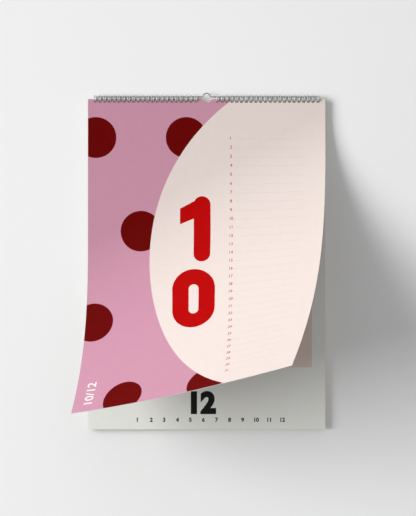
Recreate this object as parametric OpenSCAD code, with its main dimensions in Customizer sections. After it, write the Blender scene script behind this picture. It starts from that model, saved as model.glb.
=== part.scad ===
// Birthday calendar for a wall: leaves and a back card on twin-loop wire, with a hanger.
// The front leaf is lifted and curls away from the leaves behind it.
// Millimetres, +Z up, front towards -Y, origin where the nail bears under the hanger's arch.

/* [Sheets] */
// Width of every sheet
sheet_w = 210; // [150:1:300]
// Height of every sheet
sheet_h = 292; // [220:1:420]
// Thickness of the lifted leaf
leaf_t = 0.3; // [0.2:0.05:0.4]
// Thickness of the other leaves, pressed together
block_t = 1.9; // [1:0.1:2.2]
// Thickness of the back card
card_t = 0.65; // [0.4:0.05:0.9]
// Strip of paper between the holes and the top edge
edge_strip = 1.45; // [1.1:0.05:1.5]

/* [Curl of the front leaf] */
// Rise of the bending lines to the right, in degrees
curl_slant = 29; // [20:1:38]
// Flat length down the right edge before the curl starts
curl_start = 10; // [8:1:60]
// Radius of the bend where the curl starts
curl_radius = 123; // [110:1:300]
// Length over which the bend dies away to nothing
curl_fade = 300; // [200:5:500]

/* [Binding wire] */
// Diameter of the binding wire
wire_d = 0.75; // [0.6:0.05:0.9]
// Inside diameter of the wire's loops
loop_d = 4.8; // [4.5:0.1:7]
// Distance from one loop to the next
loop_pitch = 4.23; // [4:0.01:4.6]
// Distance between the two legs of a loop, centre to centre
leg_gap = 1.35; // [1.2:0.05:1.5]
// Distance between the loops on either side of the hanger's arch
mid_gap = 19.4; // [14:0.1:30]
// Least distance from a sheet's side edge to the centre of a loop
edge_in = 6; // [4:0.5:12]
// Angle of the closing seam, left open at the back of the loops
seam_angle = 40; // [36:1:60]

/* [Hanger] */
// Diameter of the hanger's wire
hanger_d = 1.2; // [1:0.05:1.4]
// Radius of the arch, to the middle of the wire
arch_r = 3.2; // [2.8:0.1:5]
// Radius of the bends at the arch's feet, to the middle of the wire
foot_r = 1; // [0.8:0.1:1.5]
// Distance from the outermost loop in to the end of the hanger
end_in = 1.6; // [1.4:0.1:2.6]

/* [Clearances] */
// Where one piece hangs on another
hang_clear = 0.08; // [0.04:0.01:0.12]
// Between the front leaf and the leaves behind it
leaf_clear = 0.1; // [0.05:0.05:0.3]
// Beside the wire in a hole
hole_clear = 0.25; // [0.15:0.05:0.35]
// Below the wire in a hole
drop_clear = 0.4; // [0.2:0.05:0.6]
// Around the arch when it is folded into the notch
notch_clear = 1.2; // [0.5:0.1:2]

/* [Hidden] */
$fn = 32;

// Depth of the stack, which is centred on the loops
stack_t = leaf_t + leaf_clear + block_t + card_t;
stack_front = -stack_t / 2;
block_front = stack_front + leaf_t + leaf_clear;
card_front = block_front + block_t;

// Loops: radii, heights and places along the top edge
loop_ri = loop_d / 2;
loop_rm = loop_ri + wire_d / 2;
loop_ro = loop_ri + wire_d;
hanger_z = hanger_d / 2 - arch_r;
loop_z = hanger_z - (loop_ri - hang_clear - hanger_d / 2);
loop_count = floor((sheet_w / 2 - edge_in - mid_gap / 2) / loop_pitch) + 1;
loop_run = (loop_count - 1) * loop_pitch;
loop_far = mid_gap / 2 + loop_run;
loop_starts = [-loop_far, mid_gap / 2];
seam_at = 90;
tips_at = seam_at - seam_angle / 2;
spine_at = seam_at + seam_angle / 2;

// Holes: a sheet hangs where the face furthest from the loops' centre meets the wire
function hang_z(far_y) = loop_z - sqrt(pow(loop_ri, 2) - pow(far_y, 2)) + hang_clear;
hole_w = leg_gap + wire_d + 2 * hole_clear;
hole_h = loop_ro + drop_clear - (loop_z - hang_z(stack_front));
leaf_top = hang_z(stack_front) + edge_strip;
block_top = hang_z(max(-block_front, card_front)) + edge_strip;
card_top = hang_z(card_front + card_t) + edge_strip;
notch_r = arch_r + hanger_d / 2 + notch_clear;
cut_over = 1;

// Hanger: each foot bend touches the arch and the straight wire
foot_x = sqrt(pow(arch_r + foot_r, 2) - pow(foot_r, 2));
foot_turn = asin(foot_r / (arch_r + foot_r));
hanger_end = loop_far - end_in;

// Seat of a bend in the wire that it joins: step in its surface, and extra turn at each end
seat_in = 0.01;
seat_turn = 4;

// Curl: bending lines are numbered by their distance across the flat leaf
bend_x = sin(curl_slant);
bend_z = cos(curl_slant);
curl_from = bend_x * sheet_w / 2 + bend_z * curl_start;
curl_side = bend_z * sheet_h - bend_x * sheet_w / 2;
curl_to = bend_z * sheet_h + bend_x * sheet_w / 2;
side_steps = 36;
foot_steps = 25;
curl_lines = [
    for (i = [0 : side_steps]) curl_from + (curl_side - curl_from) * i / side_steps,
    for (i = [1 : foot_steps]) curl_side + (curl_to - curl_side) * i / foot_steps
];
last_line = len(curl_lines) - 1;
leaf_mid_y = stack_front + leaf_t / 2;

// Angle that the leaf has turned through at a distance past the start of the curl
function bend_at(far) =
    let (bent = min(far, curl_fade))
    (bent - pow(bent, 2) / (2 * curl_fade)) / curl_radius * 180 / PI;
function step_len(i) = curl_lines[i + 1] - curl_lines[i];
function step_bend(i) = bend_at((curl_lines[i] + curl_lines[i + 1]) / 2 - curl_from);

// Run along the sheet and rise off it of each bending line, summed chord by chord
curl_path = [
    for (
        i = 0, run = 0, rise = 0;
        i <= last_line;
        run = run + (i < last_line ? step_len(i) * cos(step_bend(i)) : 0),
        rise = rise + (i < last_line ? step_len(i) * sin(step_bend(i)) : 0),
        i = i + 1
    ) [run, rise]
];

// Ends of a bending line on the flat leaf, as distance to the right and down
function line_left(s) =
    s <= curl_side
    ? [-sheet_w / 2, (s + bend_x * sheet_w / 2) / bend_z]
    : [(s - bend_z * sheet_h) / bend_x, sheet_h];
function line_right(s) = [sheet_w / 2, (s - bend_x * sheet_w / 2) / bend_z];

// A point of the flat leaf, moved to its place on the curl and to one face of the paper
function curled(flat, i, side) =
    let (turn = bend_at(curl_lines[i] - curl_from))
    let (off = side * leaf_t / 2)
    let (slip = curl_path[i][0] - (curl_lines[i] - curl_from) - off * sin(turn))
    [
        flat[0] + bend_x * slip,
        leaf_mid_y - curl_path[i][1] - off * cos(turn),
        leaf_top - flat[1] - bend_z * slip
    ];

// Points in rows of four: left and right on the front face, then on the back face
leaf_points = concat(
    [for (side = [1, -1], x = [-1, 1]) [x * sheet_w / 2, leaf_mid_y - side * leaf_t / 2, leaf_top]],
    [
        for (i = [0 : last_line - 1], side = [1, -1])
            each [
                curled(line_left(curl_lines[i]), i, side),
                curled(line_right(curl_lines[i]), i, side)
            ]
    ],
    [for (side = [1, -1]) curled([sheet_w / 2, sheet_h], last_line, side)]
);
tip = 4 * (last_line + 1);
leaf_faces = concat(
    [[2, 3, 1, 0]],
    [
        for (r = [0 : 4 : tip - 8])
            each [
                [r, r + 1, r + 5, r + 4],
                [r + 2, r + 6, r + 7, r + 3],
                [r + 2, r, r + 4, r + 6],
                [r + 1, r + 3, r + 7, r + 5]
            ]
    ],
    [
        [tip - 4, tip - 3, tip],
        [tip - 2, tip + 1, tip - 1],
        [tip - 2, tip - 4, tip, tip + 1],
        [tip - 3, tip - 1, tip + 1, tip]
    ]
);

// Cuts the row of holes and the half-moon for the arch into a sheet
module punched(front_y, thick, top_z) {
    difference() {
        children();
        for (start = loop_starts, i = [0 : loop_count - 1])
            translate([
                start + i * loop_pitch - hole_w / 2,
                front_y - cut_over,
                top_z - edge_strip - hole_h
            ])
                cube([hole_w, thick + 2 * cut_over, hole_h]);
        translate([0, front_y - cut_over, hanger_z])
            rotate([-90, 0, 0])
                cylinder(r = notch_r, h = thick + 2 * cut_over);
    }
}

module plain_sheet(front_y, thick, top_z) {
    punched(front_y, thick, top_z)
        translate([-sheet_w / 2, front_y, top_z - sheet_h])
            cube([sheet_w, thick, sheet_h]);
}

// Bend of round wire in the XY plane, from the +X axis towards +Y
module wire_bend(bend_r, d, sweep) {
    rotate_extrude(angle = sweep)
        translate([bend_r, 0])
            circle(d = d);
}

// The same bend, drawn a hair thinner and longer so that both ends seat inside what they join
module seated_bend(bend_r, d, sweep) {
    rotate([0, 0, -seat_turn])
        wire_bend(bend_r, d - 2 * seat_in, sweep + 2 * seat_turn);
}

// Half turn of wire at one place round a loop, bulging towards (way 1) or against (way -1) the turn
module hairpin(bend_r, at, way) {
    rotate([0, 0, at])
        translate([loop_rm, 0, 0])
            rotate([0, -90, 0])
                rotate([0, 0, way > 0 ? 0 : 180])
                    seated_bend(bend_r, wire_d, 180);
}

// One side's wire: twin legs round each loop, a hairpin at its tips and one to the next loop
module loop_wire(start) {
    translate([start, 0, loop_z])
        rotate([0, 90, 0])
            for (i = [0 : loop_count - 1])
                translate([0, 0, i * loop_pitch]) {
                    for (side = [-1, 1])
                        translate([0, 0, side * leg_gap / 2])
                            rotate([0, 0, spine_at])
                                wire_bend(loop_rm, wire_d, 360 - seam_angle);
                    hairpin(leg_gap / 2, tips_at, 1);
                    if (i < loop_count - 1)
                        translate([0, 0, loop_pitch / 2])
                            hairpin((loop_pitch - leg_gap) / 2, spine_at, -1);
                }
}

module front_leaf() {
    color([0.86, 0.64, 0.74])
        punched(stack_front, leaf_t, leaf_top)
            polyhedron(points = leaf_points, faces = leaf_faces);
}

module page_block() {
    color([0.86, 0.86, 0.84])
        plain_sheet(block_front, block_t, block_top);
}

module back_card() {
    color([0.72, 0.70, 0.66])
        plain_sheet(card_front, card_t, card_top);
}

module binding_left() {
    color([0.80, 0.82, 0.81])
        loop_wire(loop_starts[0]);
}

module binding_right() {
    color([0.80, 0.82, 0.81])
        loop_wire(loop_starts[1]);
}

module hanger() {
    color([0.70, 0.71, 0.71])
        translate([0, 0, hanger_z])
            rotate([90, 0, 0]) {
                rotate([0, 0, foot_turn])
                    wire_bend(arch_r, hanger_d, 180 - 2 * foot_turn);
                for (side = [0, 1])
                    mirror([side, 0, 0]) {
                        translate([foot_x, foot_r, 0])
                            rotate([0, 0, 180 + foot_turn])
                                seated_bend(foot_r, hanger_d, 90 - foot_turn);
                        translate([foot_x, 0, 0])
                            rotate([0, 90, 0])
                                cylinder(d = hanger_d, h = hanger_end - foot_x);
                    }
            }
}

front_leaf();
page_block();
back_card();
binding_left();
binding_right();
hanger();
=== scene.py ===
import math
import random

import bpy
import numpy as np
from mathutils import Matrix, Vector
from mathutils.geometry import delaunay_2d_cdt


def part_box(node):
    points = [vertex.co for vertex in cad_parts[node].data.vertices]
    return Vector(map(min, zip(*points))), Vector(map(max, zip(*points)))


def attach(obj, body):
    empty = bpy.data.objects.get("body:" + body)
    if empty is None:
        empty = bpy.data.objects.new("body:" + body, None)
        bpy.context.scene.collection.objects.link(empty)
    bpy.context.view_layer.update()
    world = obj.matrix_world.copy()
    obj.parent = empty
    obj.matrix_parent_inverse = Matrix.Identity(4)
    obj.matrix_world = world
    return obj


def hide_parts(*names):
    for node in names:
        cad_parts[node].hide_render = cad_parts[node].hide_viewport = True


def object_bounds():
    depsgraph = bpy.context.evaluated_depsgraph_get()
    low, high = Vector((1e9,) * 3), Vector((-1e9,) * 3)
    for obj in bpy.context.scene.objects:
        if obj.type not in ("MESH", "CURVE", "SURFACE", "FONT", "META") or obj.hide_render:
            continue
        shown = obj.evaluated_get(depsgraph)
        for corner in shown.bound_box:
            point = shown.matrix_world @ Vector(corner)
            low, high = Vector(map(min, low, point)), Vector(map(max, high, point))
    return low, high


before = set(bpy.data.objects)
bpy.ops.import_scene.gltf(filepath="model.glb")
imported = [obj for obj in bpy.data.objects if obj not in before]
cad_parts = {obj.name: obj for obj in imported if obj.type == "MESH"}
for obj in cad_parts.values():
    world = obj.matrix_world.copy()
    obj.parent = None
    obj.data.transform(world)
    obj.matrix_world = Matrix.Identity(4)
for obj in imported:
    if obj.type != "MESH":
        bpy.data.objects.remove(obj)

# Millimetres to Blender's metres
MM = 0.001
CAD_BOX = [list(corner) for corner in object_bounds()]
BLOCK_LOW, BLOCK_HIGH = (Vector(corner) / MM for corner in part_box("page_block"))
LEAF_HIGH = Vector(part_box("front_leaf")[1]) / MM
HANGER_LOW, HANGER_HIGH = (Vector(corner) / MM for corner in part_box("hanger"))

# Sheets, laid out flat in millimetres: to the right, and down from the top edge
SHEET_W = BLOCK_HIGH.x - BLOCK_LOW.x
SHEET_H = BLOCK_HIGH.z - BLOCK_LOW.z
LEAF_T = 0.3
LEAF_CLEAR = 0.1
LEAF_MID_Y = BLOCK_LOW.y - LEAF_CLEAR - LEAF_T / 2
STACK_LEAVES = 12
STACK_AIR = 0.012
STACK_SHIFT = 0.12
STACK_SEED = 7

# Curl of the front leaf
CURL_SLANT = math.radians(29)
CURL_START = 10
CURL_RADIUS = 123
CURL_FADE = 300
CURL_STEP = 3.0
CURL_SAMPLES = 2000
BEND_X = math.sin(CURL_SLANT)
BEND_Z = math.cos(CURL_SLANT)
CURL_FROM = BEND_X * SHEET_W / 2 + BEND_Z * CURL_START
CURL_SIDE = BEND_Z * SHEET_H - BEND_X * SHEET_W / 2
CURL_TO = BEND_Z * SHEET_H + BEND_X * SHEET_W / 2

# Holes for the wire and the half-moon for the hanger's arch
LOOP_PITCH = 4.23
LOOP_COUNT = 22
MID_GAP = 19.4
HOLE_W = 2.6
HOLE_H = 1.737
EDGE_STRIP = 1.45
HANGER_Z = HANGER_LOW.z + (HANGER_HIGH.y - HANGER_LOW.y) / 2
NOTCH_R = 5.0

# Points of a flat layout that lie closer than this are one point
WELD = 1e-4

# Print on the front leaf
DOT_R = 18.1
DOT_FIRST = (-98, 34)
DOT_STEP = (40, 83)
DOT_ROWS = range(-1, 5)
DOT_COLUMNS = range(-1, 7)
PANEL_MID = (150, 140)
PANEL_R = (200, 181)
DATE_X = 20.8
DATE_H = 2.7
DATE_WEIGHT = 0.012
DATE_COUNT = 31
LINE_FIRST = 35.3
LINE_STEP = 8.0
LINE_X = (24.6, 86)
LINE_H = 0.22
LINE_RISE = 0.5
MONTH_MID = -11.5
MONTH_W = 39
MONTH_H = 60
MONTH_TOP = 86
MONTH_GAP = 7
MONTH_STROKE = 15
FLAG_REACH = 0.8 * MONTH_STROKE
FLAG_ROOT = (0.6, 17)
FLAG_TIP = (11, 25)
LEAN_FROM = 100
LEAN_TO = 275
LEAN = 17
MARK_TEXT = "10/12"
MARK_X = -87
MARK_Y = 284
MARK_H = 8

# Print on the sheet below the front leaf
FIELD_SIDE = 11.8
FIELD_TOP = 14
FIELD_BOTTOM = 237
MONTHS = 12
INDEX_X = (-60, 67)
INDEX_Y = 285.2
INDEX_H = 3.6
INDEX_WEIGHT = 0.045
TOTAL_X = -14
TOTAL_Y = 277
TOTAL_H = 19
TOTAL_WEIGHT = 0.06

# Ink and material colours, as display values
PINK = (198, 144, 165)
RED_DOT = (101, 0, 0)
CREAM = (227, 214, 208)
RED_INK = (178, 1, 2)
DATE_INK = (176, 40, 42)
RULE_INK = (212, 196, 189)
SHEET_GREY = (238, 238, 233)
FIELD_PINK = (230, 212, 202)
BLACK_INK = (28, 27, 27)
PAPER_WHITE = (236, 233, 228)
BOARD_GREY = (176, 170, 160)
WALL_WHITE = (246, 246, 246)
FLOOR_WHITE = (226, 225, 223)
SILVER = (178, 182, 180)
STEEL = (152, 154, 154)

# Grain of the materials: spots per metre, stretch along the sheet, and depth of the bump in metres
PAPER_BLOTCH = 140
PAPER_FIBRE = 2600
FIBRE_STRETCH = (1, 1, 0.45)
FIBRE_DEPTH = 0.00004
BOARD_FLECK = 900
FLECK_STRETCH = (1, 1, 0.6)
BOARD_TOOTH = 1800
TOOTH_DEPTH = 0.00008
WIRE_MARKS = 3000
WIRE_CLOUD = 420
MARKS_DEPTH = 0.00001

# Stage: the wall's side, lamps and their places in metres and watts, the rest in millimetres
WALL_CLEAR = 0.2
WALL_Y = CAD_BOX[1][1] / MM + WALL_CLEAR
WALL_SIZE = 6.0
FLOOR_Z = -1200
CAMERA_X = 1.2
CAMERA_DROP = 140.6
CAMERA_Z = LEAF_HIGH.z - CAMERA_DROP
CAMERA_FAR = 1800
CAMERA_LENS = 141.9
KEY_WAY = Vector((-1.75, -1.0, 0.28))
KEY_FAR = 6.0
KEY_SIZE = (2.6, 4.6)
KEY_POWER = 418
BACK_WAY = Vector((0.8, 1.8, 0.9))
BACK_SIZE = (1.4, 1.4)
BACK_POWER = 16
LOW_PLACE = Vector((-0.45, -1.0, -1.0))
LOW_SIZE = (1.4, 0.8)
LOW_POWER = 1.2
FILL = 0.355
FILL_TOP = 0.8
BACKDROP = 0.9


def linear(rgb):
    """Display colour to the linear colour that a shader takes."""
    return tuple(
        c / 255 / 12.92 if c <= 10 else ((c / 255 + 0.055) / 1.055) ** 2.4 for c in rgb
    )


# Shapes on a flat sheet: an array of points and the edges that close round them
def closed(points):
    count = len(points)
    return np.array(points, float), [(i, (i + 1) % count) for i in range(count)]


def rectangle(left, top, right, bottom):
    return closed([(left, top), (right, top), (right, bottom), (left, bottom)])


def ellipse(mid, radii, count=96):
    turns = [2 * math.pi * i / count for i in range(count)]
    return closed([(mid[0] + radii[0] * math.cos(t), mid[1] + radii[1] * math.sin(t)) for t in turns])


def stadium(mid, width, height, count=24):
    """Upright bar with half-round ends."""
    r = width / 2
    reach = height / 2 - r
    points = []
    for side in (1, -1):
        for i in range(count + 1):
            t = math.pi * i / count
            points.append((mid[0] + side * r * math.cos(t), mid[1] + side * (reach + r * math.sin(t))))
    return closed(points)


def joined(*shapes):
    """Several outlines as one shape, where an outline inside another cuts a hole."""
    points, edges = [], []
    for shape_points, shape_edges in shapes:
        start = len(points)
        points.extend(shape_points.tolist())
        edges.extend((a + start, b + start) for a, b in shape_edges)
    return np.array(points, float), edges


def numeral(text, height, left, base, weight=0.0):
    """Outline of a plain number, standing on a base line."""
    curve = bpy.data.curves.new("numeral", "FONT")
    curve.body = text
    curve.offset = weight
    curve.resolution_u = 4
    holder = bpy.data.objects.new("numeral", curve)
    bpy.context.scene.collection.objects.link(holder)
    mesh = bpy.data.meshes.new_from_object(holder.evaluated_get(bpy.context.evaluated_depsgraph_get()))
    flat = np.array([vertex.co[:2] for vertex in mesh.vertices])
    uses = {}
    for polygon in mesh.polygons:
        for key in polygon.edge_keys:
            uses[key] = uses.get(key, 0) + 1
    edges = [key for key, count in uses.items() if count == 1]
    bpy.data.objects.remove(holder)
    bpy.data.curves.remove(curve)
    bpy.data.meshes.remove(mesh)
    scale = height / flat[:, 1].max()
    points = np.column_stack((left + (flat[:, 0] - flat[:, 0].min()) * scale, base - flat[:, 1] * scale))
    return points, edges


def turned_up(shape, left, base):
    """A shape turned a quarter to read upwards about a point."""
    points, edges = shape
    return np.column_stack((left + points[:, 1] - base, base - points[:, 0] + left)), edges


def leaning(shape):
    """A shape set aside lower down, so that columns stand upright on the lifted leaf."""
    points, edges = shape
    return np.column_stack((points[:, 0] + lean_at(points[:, 1]), points[:, 1])), edges


def lean_at(down):
    return LEAN * np.clip((down - LEAN_FROM) / (LEAN_TO - LEAN_FROM), 0, None) ** 2


def covers(shape, points):
    """Which points lie inside a shape, by counting the edges to their right."""
    corners, edges = shape
    low, high = corners.min(axis=0), corners.max(axis=0)
    near = np.all((points >= low) & (points <= high), axis=1)
    x, y = points[near].T
    odd = np.zeros(len(x), bool)
    for a, b in edges:
        (ax, ay), (bx, by) = corners[a], corners[b]
        if ay != by:
            cross = (ay > y) != (by > y)
            odd ^= cross & (x < ax + (y - ay) * (bx - ax) / (by - ay))
    inside = np.zeros(len(points), bool)
    inside[near] = odd
    return inside


# Flat layouts
def sheet_cuts(top_z):
    """Holes and half-moon of a sheet whose top edge is at a height."""
    cuts = [ellipse((0, top_z - HANGER_Z), (NOTCH_R, NOTCH_R), 64)]
    run = MID_GAP / 2 + (LOOP_COUNT - 1) * LOOP_PITCH
    for start in (-run, MID_GAP / 2):
        for i in range(LOOP_COUNT):
            mid = start + i * LOOP_PITCH
            cuts.append(
                rectangle(mid - HOLE_W / 2, EDGE_STRIP, mid + HOLE_W / 2, EDGE_STRIP + HOLE_H)
            )
    return cuts


def polka_dots():
    """Even rows of dots, every other row set half a step aside."""
    dots = []
    for row in DOT_ROWS:
        for column in DOT_COLUMNS:
            if (row + column) % 2 == 0:
                mid = (DOT_FIRST[0] + column * DOT_STEP[0], DOT_FIRST[1] + row * DOT_STEP[1])
                dots.append(ellipse(mid, (DOT_R, DOT_R)))
    return dots


def month_number():
    """The month as two plain numbers, one above the other."""
    one_mid = MONTH_TOP + MONTH_H / 2
    zero_mid = one_mid + MONTH_H + MONTH_GAP
    root_x = MONTH_MID + MONTH_STROKE / 2
    tip_x = MONTH_MID - FLAG_REACH
    bar = stadium((root_x, one_mid), MONTH_STROKE, MONTH_H)
    flag = [
        (root_x, MONTH_TOP + FLAG_ROOT[0]),
        (root_x, MONTH_TOP + FLAG_ROOT[1]),
        (tip_x, MONTH_TOP + FLAG_TIP[1]),
        (tip_x, MONTH_TOP + FLAG_TIP[0]),
    ]
    ring = joined(
        stadium((MONTH_MID, zero_mid), MONTH_W, MONTH_H),
        stadium((MONTH_MID, zero_mid), MONTH_W - 2 * MONTH_STROKE, MONTH_H - 2 * MONTH_STROKE),
    )
    return [bar, closed(flag), ring]


def leaf_print():
    """Shapes printed on the front leaf, in the order that they are laid down."""
    shapes = [("red_dot", dot) for dot in polka_dots()]
    shapes.append(("cream", ellipse(PANEL_MID, PANEL_R, 256)))
    shapes += [("red_ink", leaning(shape)) for shape in month_number()]
    for i in range(DATE_COUNT):
        y = LINE_FIRST + i * LINE_STEP
        aside = lean_at(y)
        shapes.append(("rule_ink", rectangle(LINE_X[0] + aside, y, LINE_X[1], y + LINE_H)))
        shapes.append(("date_ink", numeral(str(i + 1), DATE_H, DATE_X + aside, y + LINE_RISE, DATE_WEIGHT)))
    mark = numeral(MARK_TEXT, MARK_H, MARK_X, MARK_Y, DATE_WEIGHT)
    shapes.append(("paper_white", turned_up(mark, MARK_X, MARK_Y)))
    return shapes


def under_print():
    """Shapes printed on the sheet below: a plain field and a row of month numbers."""
    edge = SHEET_W / 2 - FIELD_SIDE
    shapes = [("field_pink", rectangle(-edge, FIELD_TOP, edge, FIELD_BOTTOM))]
    step = (INDEX_X[1] - INDEX_X[0]) / (MONTHS - 1)
    for month in range(MONTHS):
        left = INDEX_X[0] + month * step - INDEX_H / 2
        shapes.append(("black_ink", numeral(str(month + 1), INDEX_H, left, INDEX_Y, INDEX_WEIGHT)))
    shapes.append(("black_ink", numeral(str(MONTHS), TOTAL_H, TOTAL_X, TOTAL_Y, TOTAL_WEIGHT)))
    return shapes


def bending_lines():
    """Lines across the flat leaf along which it bends, as pairs of ends."""
    lines = []
    count = math.ceil((CURL_TO - CURL_FROM) / CURL_STEP)
    for i in range(count):
        s = CURL_FROM + (CURL_TO - CURL_FROM) * i / count
        right = (SHEET_W / 2, (s - BEND_X * SHEET_W / 2) / BEND_Z)
        if s <= CURL_SIDE:
            left = (-SHEET_W / 2, (s + BEND_X * SHEET_W / 2) / BEND_Z)
        else:
            left = ((s - BEND_Z * SHEET_H) / BEND_X, SHEET_H)
        lines.append((np.array([left, right]), [(0, 1)]))
    return lines


def flat_mesh(cuts, inks, ground, lines=()):
    """Triangles of a flat sheet, cut to every printed shape, with the ink of each."""
    outline = rectangle(-SHEET_W / 2, 0, SHEET_W / 2, SHEET_H)
    points, edges = joined(outline, *cuts, *(shape for _, shape in inks), *lines)
    flipped = [Vector((x, -y)) for x, y in points]
    corners, _, faces = delaunay_2d_cdt(flipped, edges, [], 0, WELD)[:3]
    corners = np.array([(corner.x, -corner.y) for corner in corners])
    faces = np.array(faces)
    middles = corners[faces].mean(axis=1)
    keep = covers(outline, middles)
    for cut in cuts:
        keep &= ~covers(cut, middles)
    colours = np.full(len(faces), ground, dtype=object)
    for ink, shape in inks:
        colours[covers(shape, middles)] = ink
    used, renumbered = np.unique(faces[keep], return_inverse=True)
    return corners[used], renumbered.reshape(-1, 3), colours[keep]


# Placing a flat sheet in space
def flat_place(top_z, mid_y, thick, shift=(0, 0)):
    """Places points of a flat sheet on its front (side 1) or back (side -1)."""
    def place(flat, side):
        x = flat[:, 0] + shift[0]
        y = np.full(len(flat), mid_y - side * thick / 2)
        z = top_z - flat[:, 1] + shift[1]
        normal = np.tile((0.0, -side, 0.0), (len(flat), 1))
        return np.column_stack((x, y, z)), normal
    return place


def curl_table():
    """Distance, turn, run and rise along the curl, in small even steps."""
    far = np.linspace(0, CURL_TO - CURL_FROM + 1, CURL_SAMPLES)
    bent = np.minimum(far, CURL_FADE)
    turn = (bent - bent**2 / (2 * CURL_FADE)) / CURL_RADIUS
    step = far[1] - far[0]
    run = np.concatenate(([0], np.cumsum((np.cos(turn[1:]) + np.cos(turn[:-1])) / 2 * step)))
    rise = np.concatenate(([0], np.cumsum((np.sin(turn[1:]) + np.sin(turn[:-1])) / 2 * step)))
    return far, turn, run, rise


def curl_place():
    """Places points of the flat leaf on the front or back of its curl."""
    table_far, table_turn, table_run, table_rise = curl_table()

    def place(flat, side):
        far = np.maximum(0, BEND_X * flat[:, 0] + BEND_Z * flat[:, 1] - CURL_FROM)
        turn = np.interp(far, table_far, table_turn)
        off = side * LEAF_T / 2
        slip = np.interp(far, table_far, table_run) - far - off * np.sin(turn)
        x = flat[:, 0] + BEND_X * slip
        y = LEAF_MID_Y - np.interp(far, table_far, table_rise) - off * np.cos(turn)
        z = LEAF_HIGH.z - flat[:, 1] - BEND_Z * slip
        normal = np.column_stack((-BEND_X * np.sin(turn), -np.cos(turn), BEND_Z * np.sin(turn)))
        return np.column_stack((x, y, z)), side * normal
    return place


# Building sheet meshes
def sheet_faces(corners, faces, place, inks):
    """Front, back and cut edges of one sheet: points, faces, normals of the corners and inks."""
    count = len(corners)
    front, front_normal = place(corners, 1)
    back, back_normal = place(corners, -1)
    points = np.vstack((front, back)) * MM
    ways = {}
    for a, b, c in faces:
        for edge in ((a, b), (b, c), (c, a)):
            ways[edge] = True
    rim = [(a, b) for a, b in ways if (b, a) not in ways]
    all_faces = [tuple(f) for f in faces] + [(a + count, c + count, b + count) for a, b, c in faces]
    normals = [front_normal[i] for f in faces for i in f]
    normals += [back_normal[i] for a, b, c in faces for i in (a, c, b)]
    for a, b in rim:
        all_faces.append((b, a, a + count, b + count))
        normal = np.cross(points[a] - points[b], points[a + count] - points[a])
        normals += [normal / np.linalg.norm(normal)] * 4
    inks = list(inks) + ["paper_white"] * (len(faces) + len(rim))
    return points, all_faces, normals, inks


def build_piece(name, sheets, materials):
    """One mesh object of one or more sheets, smooth along the paper and sharp at its edges."""
    points, faces, normals, inks = [], [], [], []
    for sheet in sheets:
        start = len(points)
        points.extend(sheet[0].tolist())
        faces.extend(tuple(i + start for i in face) for face in sheet[1])
        normals.extend(sheet[2])
        inks.extend(sheet[3])
    mesh = bpy.data.meshes.new(name)
    mesh.from_pydata(points, [], faces)
    names = sorted(set(inks))
    for ink in names:
        mesh.materials.append(materials[ink])
    mesh.polygons.foreach_set("material_index", [names.index(ink) for ink in inks])
    mesh.polygons.foreach_set("use_smooth", [True] * len(faces))
    mesh.update()
    mesh.normals_split_custom_set([tuple(normal) for normal in normals])
    piece = bpy.data.objects.new(name, mesh)
    bpy.context.scene.collection.objects.link(piece)
    return piece


# Materials
def node(tree, kind, **values):
    """A new shader node with its inputs set."""
    made = tree.nodes.new(kind)
    for key, value in values.items():
        made.inputs[key.replace("_", " ")].default_value = value
    return made


def new_material(name):
    material = bpy.data.materials.new(name)
    material.use_nodes = True
    return material, material.node_tree, material.node_tree.nodes["Principled BSDF"]


def noise(tree, scale, detail=4.0, stretch=None):
    """Noise in the object's own space, with a scale in spots per metre."""
    place = tree.nodes.new("ShaderNodeTexCoord").outputs["Object"]
    if stretch:
        mapping = node(tree, "ShaderNodeMapping", Scale=stretch)
        tree.links.new(place, mapping.inputs["Vector"])
        place = mapping.outputs["Vector"]
    made = node(tree, "ShaderNodeTexNoise", Scale=scale, Detail=detail, Roughness=0.6)
    tree.links.new(place, made.inputs["Vector"])
    return made.outputs["Fac"]


def ranged(tree, value, low, high):
    """A noise value, mostly from 0.3 to 0.7, brought to another range."""
    made = tree.nodes.new("ShaderNodeMapRange")
    made.inputs["From Min"].default_value = 0.3
    made.inputs["From Max"].default_value = 0.7
    made.inputs["To Min"].default_value = low
    made.inputs["To Max"].default_value = high
    tree.links.new(value, made.inputs["Value"])
    return made.outputs["Result"]


def tinted(tree, value, dark, light):
    """Colour between two tints, led by a value from 0.3 to 0.7."""
    made = tree.nodes.new("ShaderNodeMix")
    made.data_type = "RGBA"
    made.inputs["A"].default_value = (*dark, 1)
    made.inputs["B"].default_value = (*light, 1)
    tree.links.new(ranged(tree, value, 0, 1), made.inputs["Factor"])
    return made.outputs["Result"]


def bumped(tree, value, depth, strength):
    made = node(tree, "ShaderNodeBump", Strength=strength, Distance=depth)
    tree.links.new(value, made.inputs["Height"])
    return made.outputs["Normal"]


def paper(name, rgb, vary=0.035, rough=0.62):
    """Matt paper: ink a little uneven over fine fibres, which also show as tooth."""
    material, tree, shader = new_material(name)
    colour = np.array(linear(rgb))
    blotch = noise(tree, PAPER_BLOTCH, 5)
    fibre = noise(tree, PAPER_FIBRE, 5, FIBRE_STRETCH)
    tint = tinted(tree, blotch, colour * (1 - vary), colour * (1 + vary))
    tree.links.new(tint, shader.inputs["Base Color"])
    tree.links.new(ranged(tree, fibre, rough - 0.05, rough + 0.08), shader.inputs["Roughness"])
    tree.links.new(bumped(tree, fibre, FIBRE_DEPTH, 0.25), shader.inputs["Normal"])
    shader.inputs["Specular IOR Level"].default_value = 0.05
    return material


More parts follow.
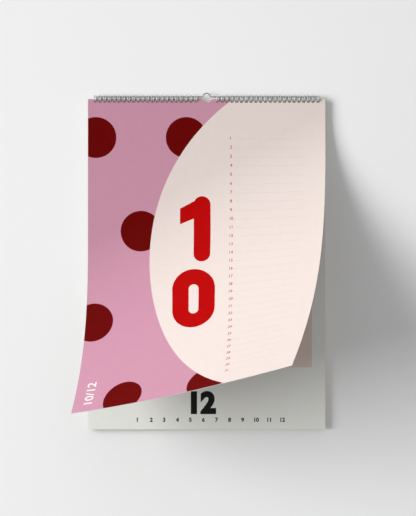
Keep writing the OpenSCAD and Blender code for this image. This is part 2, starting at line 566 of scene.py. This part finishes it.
def board(name, rgb):
    """Grey board: pressed fibres and darker flecks."""
    material, tree, shader = new_material(name)
    colour = np.array(linear(rgb))
    fleck = noise(tree, BOARD_FLECK, 8, FLECK_STRETCH)
    tooth = noise(tree, BOARD_TOOTH, 6)
    tree.links.new(tinted(tree, fleck, colour * 0.86, colour * 1.1), shader.inputs["Base Color"])
    tree.links.new(bumped(tree, tooth, TOOTH_DEPTH, 0.4), shader.inputs["Normal"])
    shader.inputs["Roughness"].default_value = 0.85
    shader.inputs["Specular IOR Level"].default_value = 0.2
    return material


def wire_metal(name, rgb, rough, metal):
    """Bright wire with faint drawing marks and an uneven sheen."""
    material, tree, shader = new_material(name)
    colour = np.array(linear(rgb))
    marks = noise(tree, WIRE_MARKS, 4)
    cloud = noise(tree, WIRE_CLOUD, 3)
    tree.links.new(tinted(tree, cloud, colour * 0.9, colour * 1.04), shader.inputs["Base Color"])
    tree.links.new(ranged(tree, marks, rough - 0.06, rough + 0.1), shader.inputs["Roughness"])
    tree.links.new(bumped(tree, marks, MARKS_DEPTH, 0.2), shader.inputs["Normal"])
    shader.inputs["Metallic"].default_value = metal
    return material


def ink_materials():
    """The paper and every ink printed on it."""
    return {
        "pink": paper("ink_pink", PINK, 0.012),
        "red_dot": paper("ink_dark_red", RED_DOT, 0.06, 0.58),
        "cream": paper("ink_cream", CREAM, 0.012),
        "red_ink": paper("ink_red", RED_INK, 0.05, 0.58),
        "date_ink": paper("ink_date", DATE_INK, 0.05),
        "rule_ink": paper("ink_rule", RULE_INK, 0.03),
        "sheet_grey": paper("ink_sheet_grey", SHEET_GREY, 0.012),
        "field_pink": paper("ink_field", FIELD_PINK, 0.015),
        "black_ink": paper("ink_black", BLACK_INK, 0.1, 0.55),
        "paper_white": paper("paper_white", PAPER_WHITE, 0.012, 0.68),
    }


# Pieces of the calendar
def front_leaf(materials):
    """The printed leaf, lifted in its curl."""
    corners, faces, inks = flat_mesh(sheet_cuts(LEAF_HIGH.z), leaf_print(), "pink", bending_lines())
    piece = build_piece("printed_leaf", [sheet_faces(corners, faces, curl_place(), inks)], materials)
    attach(piece, "leaf")
    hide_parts("front_leaf")


def page_block(materials):
    """The leaves behind, each a thin sheet lying a hair out of line with the next."""
    shifts = random.Random(STACK_SEED)
    pitch = (BLOCK_HIGH.y - BLOCK_LOW.y) / STACK_LEAVES
    cuts = sheet_cuts(BLOCK_HIGH.z)
    plain = flat_mesh(cuts, [], "paper_white")
    printed = flat_mesh(cuts, under_print(), "sheet_grey")
    sheets = []
    for i in range(STACK_LEAVES):
        corners, faces, inks = plain if i else printed
        mid_y = BLOCK_LOW.y + (i + 0.5) * pitch
        shift = (shifts.uniform(-STACK_SHIFT, STACK_SHIFT), shifts.uniform(0, STACK_SHIFT)) if i else (0, 0)
        place = flat_place(BLOCK_HIGH.z, mid_y, pitch - STACK_AIR, shift)
        sheets.append(sheet_faces(corners, faces, place, inks))
    piece = build_piece("leaf_stack", sheets, materials)
    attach(piece, "binding")
    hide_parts("page_block")


def dress_solid(name, material):
    """Gives a solid that stays as it is its material."""
    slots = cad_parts[name].data.materials
    slots.clear()
    slots.append(material)


# Stage
def plane(name, corners, material):
    """One flat face of the stage."""
    mesh = bpy.data.meshes.new(name)
    mesh.from_pydata(corners, [], [(0, 1, 2, 3)])
    mesh.materials.append(material)
    made = bpy.data.objects.new(name, mesh)
    bpy.context.scene.collection.objects.link(made)
    return made


def matt(name, rgb):
    """Plain pale surface of the stage."""
    material, _, shader = new_material(name)
    shader.inputs["Base Color"].default_value = (*linear(rgb), 1)
    shader.inputs["Roughness"].default_value = 0.9
    shader.inputs["Specular IOR Level"].default_value = 0.1
    return material


def wall_material():
    """Pale wall that shows only its front, so that the calendar's back can be seen."""
    material = matt("wall", WALL_WHITE)
    tree = material.node_tree
    shader = tree.nodes["Principled BSDF"]
    clear = tree.nodes.new("ShaderNodeBsdfTransparent")
    side = tree.nodes.new("ShaderNodeNewGeometry")
    mix = tree.nodes.new("ShaderNodeMixShader")
    tree.links.new(side.outputs["Backfacing"], mix.inputs["Fac"])
    tree.links.new(shader.outputs["BSDF"], mix.inputs[1])
    tree.links.new(clear.outputs["BSDF"], mix.inputs[2])
    tree.links.new(mix.outputs["Shader"], tree.nodes["Material Output"].inputs["Surface"])
    return material


def stage():
    """Wall behind the calendar and floor below it. Neither throws light back on the paper."""
    half = WALL_SIZE / 2
    y = WALL_Y * MM
    z = FLOOR_Z * MM
    wall_corners = [(-half, y, z), (half, y, z), (half, y, z + WALL_SIZE), (-half, y, z + WALL_SIZE)]
    wall = plane("wall", wall_corners, wall_material())
    wall.visible_shadow = False
    wall.visible_diffuse = False
    floor_corners = [(-half, -half, z), (half, -half, z), (half, half, z), (-half, half, z)]
    floor = plane("floor", floor_corners, matt("floor", FLOOR_WHITE))
    floor.visible_diffuse = False


def area_lamp(name, place, target, size, power):
    """Soft box of a width and a height, turned to a place."""
    lamp = bpy.data.lights.new(name, "AREA")
    lamp.shape = "RECTANGLE"
    lamp.size, lamp.size_y = size
    lamp.energy = power
    holder = bpy.data.objects.new(name, lamp)
    holder.location = place
    holder.rotation_euler = (target - place).to_track_quat("-Z", "Y").to_euler()
    bpy.context.scene.collection.objects.link(holder)


def lights():
    """Tall soft box from the left, a faint one from below and one for the back."""
    target = Vector((0, 0, CAMERA_Z * MM))
    area_lamp("key", target + KEY_WAY.normalized() * KEY_FAR, target, KEY_SIZE, KEY_POWER)
    area_lamp("low", LOW_PLACE, target, LOW_SIZE, LOW_POWER)
    area_lamp("back", target + BACK_WAY, target, BACK_SIZE, BACK_POWER)


def sky():
    """Even fill that is stronger from above, and a pale backdrop where it is seen."""
    world = bpy.data.worlds.new("studio")
    bpy.context.scene.world = world
    world.use_nodes = True
    tree = world.node_tree
    fill = tree.nodes["Background"]
    fill.inputs["Color"].default_value = (1, 1, 1, 1)
    way = tree.nodes.new("ShaderNodeTexCoord")
    split = tree.nodes.new("ShaderNodeSeparateXYZ")
    tree.links.new(way.outputs["Generated"], split.inputs["Vector"])
    height = tree.nodes.new("ShaderNodeMapRange")
    height.inputs["From Min"].default_value = -1
    height.inputs["To Min"].default_value = FILL * (1 - FILL_TOP)
    height.inputs["To Max"].default_value = FILL * (1 + FILL_TOP)
    tree.links.new(split.outputs["Z"], height.inputs["Value"])
    tree.links.new(height.outputs["Result"], fill.inputs["Strength"])
    seen = node(tree, "ShaderNodeBackground", Strength=BACKDROP)
    seen.inputs["Color"].default_value = (1, 1, 1, 1)
    path = tree.nodes.new("ShaderNodeLightPath")
    direct = path.outputs["Is Camera Ray"]
    for ray in ("Is Glossy Ray", "Is Transmission Ray"):
        either = tree.nodes.new("ShaderNodeMath")
        either.operation = "MAXIMUM"
        tree.links.new(direct, either.inputs[0])
        tree.links.new(path.outputs[ray], either.inputs[1])
        direct = either.outputs["Value"]
    mix = tree.nodes.new("ShaderNodeMixShader")
    tree.links.new(direct, mix.inputs["Fac"])
    tree.links.new(fill.outputs["Background"], mix.inputs[1])
    tree.links.new(seen.outputs["Background"], mix.inputs[2])
    tree.links.new(mix.outputs["Shader"], tree.nodes["World Output"].inputs["Surface"])


def camera():
    """Square on to the calendar, as in the photograph."""
    lens = bpy.data.cameras.new("camera")
    lens.lens = CAMERA_LENS
    holder = bpy.data.objects.new("camera", lens)
    holder.location = Vector((CAMERA_X, LEAF_MID_Y - CAMERA_FAR, CAMERA_Z)) * MM
    holder.rotation_euler = (math.pi / 2, 0, 0)
    bpy.context.scene.collection.objects.link(holder)
    bpy.context.scene.camera = holder


# The scene
camera()
stage()
lights()
sky()
inks = ink_materials()
front_leaf(inks)
page_block(inks)
dress_solid("back_card", board("grey_board", BOARD_GREY))
silver = wire_metal("binding_wire", SILVER, rough=0.42, metal=0.8)
dress_solid("binding_left", silver)
dress_solid("binding_right", silver)
dress_solid("hanger", wire_metal("hanger_wire", STEEL, rough=0.34, metal=1.0))
bpy.context.scene.view_settings.view_transform = "Standard"
